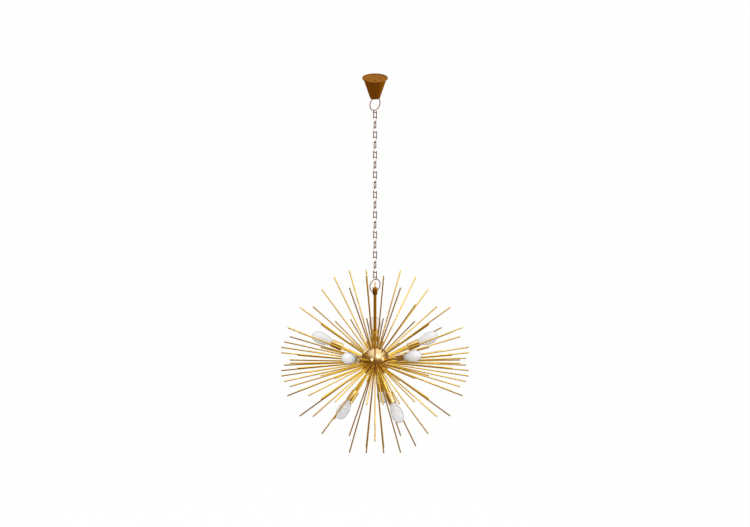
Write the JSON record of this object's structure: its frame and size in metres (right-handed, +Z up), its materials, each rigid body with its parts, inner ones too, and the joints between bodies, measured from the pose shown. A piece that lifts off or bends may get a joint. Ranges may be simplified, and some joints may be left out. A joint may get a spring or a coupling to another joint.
{
  "type": "pendant chandelier",
  "caption": "Starburst pendant chandelier: metal needles and lamp arms stand out of a ball on a stem, hung from a cone canopy by a chain between two rings.",
  "frame": {"origin": "centre of the ceiling plate's flat top face, where it meets the ceiling", "axes": "+Z up out of the ceiling face, along the chain and stem; -Y faces the viewer of the picture; +X to the viewer's right"},
  "size_m": [0.6032, 0.6032, 1.2716],
  "materials": {
    "plate_brass": "satin, antiqued",
    "canopy_brass": "satin, antiqued",
    "chain_brass": "polished, antiqued",
    "stem_brass": "satin",
    "ball_brass": "satin",
    "needle_brass": "polished",
    "sleeve_brass": "polished",
    "hidden_steel": "plated",
    "lamp_cap_metal": "satin",
    "contact_brass": "satin",
    "holder_plastic": "matt",
    "bushing_rubber": "matt",
    "frosted_glass": "frosted"
  },
  "bodies": {
    "ceiling_mount": {"ceiling_plate": "plate_brass", "canopy_cone": "canopy_brass", "canopy_grub_screws": "hidden_steel", "eye_bolt": "canopy_brass", "eye_bolt_nut": "hidden_steel", "terminal_block": "holder_plastic"},
    "upper_ring": {"upper_ring": "chain_brass"},
    "link_01": {"chain_link_01": "chain_brass"},
    "link_02": {"chain_link_02": "chain_brass"},
    "link_03": {"chain_link_03": "chain_brass"},
    "link_04": {"chain_link_04": "chain_brass"},
    "link_05": {"chain_link_05": "chain_brass"},
    "link_06": {"chain_link_06": "chain_brass"},
    "link_07": {"chain_link_07": "chain_brass"},
    "link_08": {"chain_link_08": "chain_brass"},
    "link_09": {"chain_link_09": "chain_brass"},
    "link_10": {"chain_link_10": "chain_brass"},
    "link_11": {"chain_link_11": "chain_brass"},
    "link_12": {"chain_link_12": "chain_brass"},
    "link_13": {"chain_link_13": "chain_brass"},
    "link_14": {"chain_link_14": "chain_brass"},
    "link_15": {"chain_link_15": "chain_brass"},
    "link_16": {"chain_link_16": "chain_brass"},
    "link_17": {"chain_link_17": "chain_brass"},
    "lower_ring": {"lower_ring": "chain_brass"},
    "starburst": {"stem_cap": "canopy_brass", "stem_tube": "stem_brass", "cord_bushing": "bushing_rubber", "ball_upper_shell": "ball_brass", "ball_lower_shell": "ball_brass", "core": "hidden_steel", "stem_nut": "hidden_steel", "arm_tubes": "stem_brass", "lamp_sleeves": "sleeve_brass", "lampholders": "holder_plastic", "lamp_contacts": "contact_brass", "needles_upper_row_1": "needle_brass", "needles_upper_row_2": "needle_brass", "needles_upper_row_3": "needle_brass", "needles_upper_crown": "needle_brass", "needles_lower_row_1": "needle_brass", "needles_lower_row_2": "needle_brass", "needles_lower_row_3": "needle_brass", "needles_lower_crown": "needle_brass"},
    "lamp_1": {"lamp_1_cap": "lamp_cap_metal", "lamp_1_glass": "frosted_glass"},
    "lamp_2": {"lamp_2_cap": "lamp_cap_metal", "lamp_2_glass": "frosted_glass"},
    "lamp_3": {"lamp_3_cap": "lamp_cap_metal", "lamp_3_glass": "frosted_glass"},
    "lamp_4": {"lamp_4_cap": "lamp_cap_metal", "lamp_4_glass": "frosted_glass"},
    "lamp_5": {"lamp_5_cap": "lamp_cap_metal", "lamp_5_glass": "frosted_glass"},
    "lamp_6": {"lamp_6_cap": "lamp_cap_metal", "lamp_6_glass": "frosted_glass"},
    "lamp_7": {"lamp_7_cap": "lamp_cap_metal", "lamp_7_glass": "frosted_glass"},
    "lamp_8": {"lamp_8_cap": "lamp_cap_metal", "lamp_8_glass": "frosted_glass"}
  },
  "joints": [
    {"name": "upper_ring_swing", "type": "hinge", "parent": "ceiling_mount", "child": "upper_ring", "pos_m": [0, 0, -0.0722], "axis": [-0.6561, 0.7547, 0], "range_deg": [-8, 8]},
    {"name": "link_01_swing", "type": "hinge", "parent": "upper_ring", "child": "link_01", "pos_m": [0, 0, -0.1115], "axis": [0.7547, 0.6561, 0], "range_deg": [-6, 6]},
    {"name": "link_02_swing", "type": "hinge", "parent": "link_01", "child": "link_02", "pos_m": [0, 0, -0.14551], "axis": [0.866, -0.5, 0], "range_deg": [-6, 6]},
    {"name": "link_03_swing", "type": "hinge", "parent": "link_02", "child": "link_03", "pos_m": [0, 0, -0.17962], "axis": [0.5, 0.866, 0], "range_deg": [-6, 6]},
    {"name": "link_04_swing", "type": "hinge", "parent": "link_03", "child": "link_04", "pos_m": [0, 0, -0.21373], "axis": [0.866, -0.5, 0], "range_deg": [-6, 6]},
    {"name": "link_05_swing", "type": "hinge", "parent": "link_04", "child": "link_05", "pos_m": [0, 0, -0.24784], "axis": [0.5, 0.866, 0], "range_deg": [-6, 6]},
    {"name": "link_06_swing", "type": "hinge", "parent": "link_05", "child": "link_06", "pos_m": [0, 0, -0.28195], "axis": [0.866, -0.5, 0], "range_deg": [-6, 6]},
    {"name": "link_07_swing", "type": "hinge", "parent": "link_06", "child": "link_07", "pos_m": [0, 0, -0.31606], "axis": [0.5, 0.866, 0], "range_deg": [-6, 6]},
    {"name": "link_08_swing", "type": "hinge", "parent": "link_07", "child": "link_08", "pos_m": [0, 0, -0.35017], "axis": [0.866, -0.5, 0], "range_deg": [-6, 6]},
    {"name": "link_09_swing", "type": "hinge", "parent": "link_08", "child": "link_09", "pos_m": [0, 0, -0.38428], "axis": [0.5, 0.866, 0], "range_deg": [-6, 6]},
    {"name": "link_10_swing", "type": "hinge", "parent": "link_09", "child": "link_10", "pos_m": [0, 0, -0.41839], "axis": [0.866, -0.5, 0], "range_deg": [-6, 6]},
    {"name": "link_11_swing", "type": "hinge", "parent": "link_10", "child": "link_11", "pos_m": [0, 0, -0.4525], "axis": [0.5, 0.866, 0], "range_deg": [-6, 6]},
    {"name": "link_12_swing", "type": "hinge", "parent": "link_11", "child": "link_12", "pos_m": [0, 0, -0.48661], "axis": [0.866, -0.5, 0], "range_deg": [-6, 6]},
    {"name": "link_13_swing", "type": "hinge", "parent": "link_12", "child": "link_13", "pos_m": [0, 0, -0.52072], "axis": [0.5, 0.866, 0], "range_deg": [-6, 6]},
    {"name": "link_14_swing", "type": "hinge", "parent": "link_13", "child": "link_14", "pos_m": [0, 0, -0.55483], "axis": [0.866, -0.5, 0], "range_deg": [-6, 6]},
    {"name": "link_15_swing", "type": "hinge", "parent": "link_14", "child": "link_15", "pos_m": [0, 0, -0.58894], "axis": [0.5, 0.866, 0], "range_deg": [-6, 6]},
    {"name": "link_16_swing", "type": "hinge", "parent": "link_15", "child": "link_16", "pos_m": [0, 0, -0.62305], "axis": [0.866, -0.5, 0], "range_deg": [-6, 6]},
    {"name": "link_17_swing", "type": "hinge", "parent": "link_16", "child": "link_17", "pos_m": [0, 0, -0.65716], "axis": [0.5, 0.866, 0], "range_deg": [-6, 6]},
    {"name": "lower_ring_swing", "type": "hinge", "parent": "link_17", "child": "lower_ring", "pos_m": [0, 0, -0.69127], "axis": [0.866, -0.5, 0], "range_deg": [-8, 8]},
    {"name": "starburst_swing", "type": "hinge", "parent": "lower_ring", "child": "starburst", "pos_m": [0, 0, -0.73112], "axis": [0.7547, 0.6561, 0], "range_deg": [-20, 20]},
    {"name": "lamp_1_unscrew", "type": "slide", "parent": "starburst", "child": "lamp_1", "axis": [-0.4484, -0.8224, 0.3502], "range_m": [0, 0.024]},
    {"name": "lamp_2_unscrew", "type": "slide", "parent": "starburst", "child": "lamp_2", "axis": [0.6468, -0.6816, 0.342], "range_m": [0, 0.024]},
    {"name": "lamp_3_unscrew", "type": "slide", "parent": "starburst", "child": "lamp_3", "axis": [0.9069, 0.2773, 0.3173], "range_m": [0, 0.024]},
    {"name": "lamp_4_unscrew", "type": "slide", "parent": "starburst", "child": "lamp_4", "axis": [0, 0.9455, 0.3256], "range_m": [0, 0.024]},
    {"name": "lamp_5_unscrew", "type": "slide", "parent": "starburst", "child": "lamp_5", "axis": [-0.9069, 0.2773, 0.3173], "range_m": [0, 0.024]},
    {"name": "lamp_6_unscrew", "type": "slide", "parent": "starburst", "child": "lamp_6", "axis": [-0.5369, -0.4505, -0.7133], "range_m": [0, 0.024]},
    {"name": "lamp_7_unscrew", "type": "slide", "parent": "starburst", "child": "lamp_7", "axis": [0.3714, -0.572, -0.7314], "range_m": [0, 0.024]},
    {"name": "lamp_8_unscrew", "type": "slide", "parent": "starburst", "child": "lamp_8", "axis": [0.1322, 0.5727, -0.809], "range_m": [0, 0.024]}
  ]
}
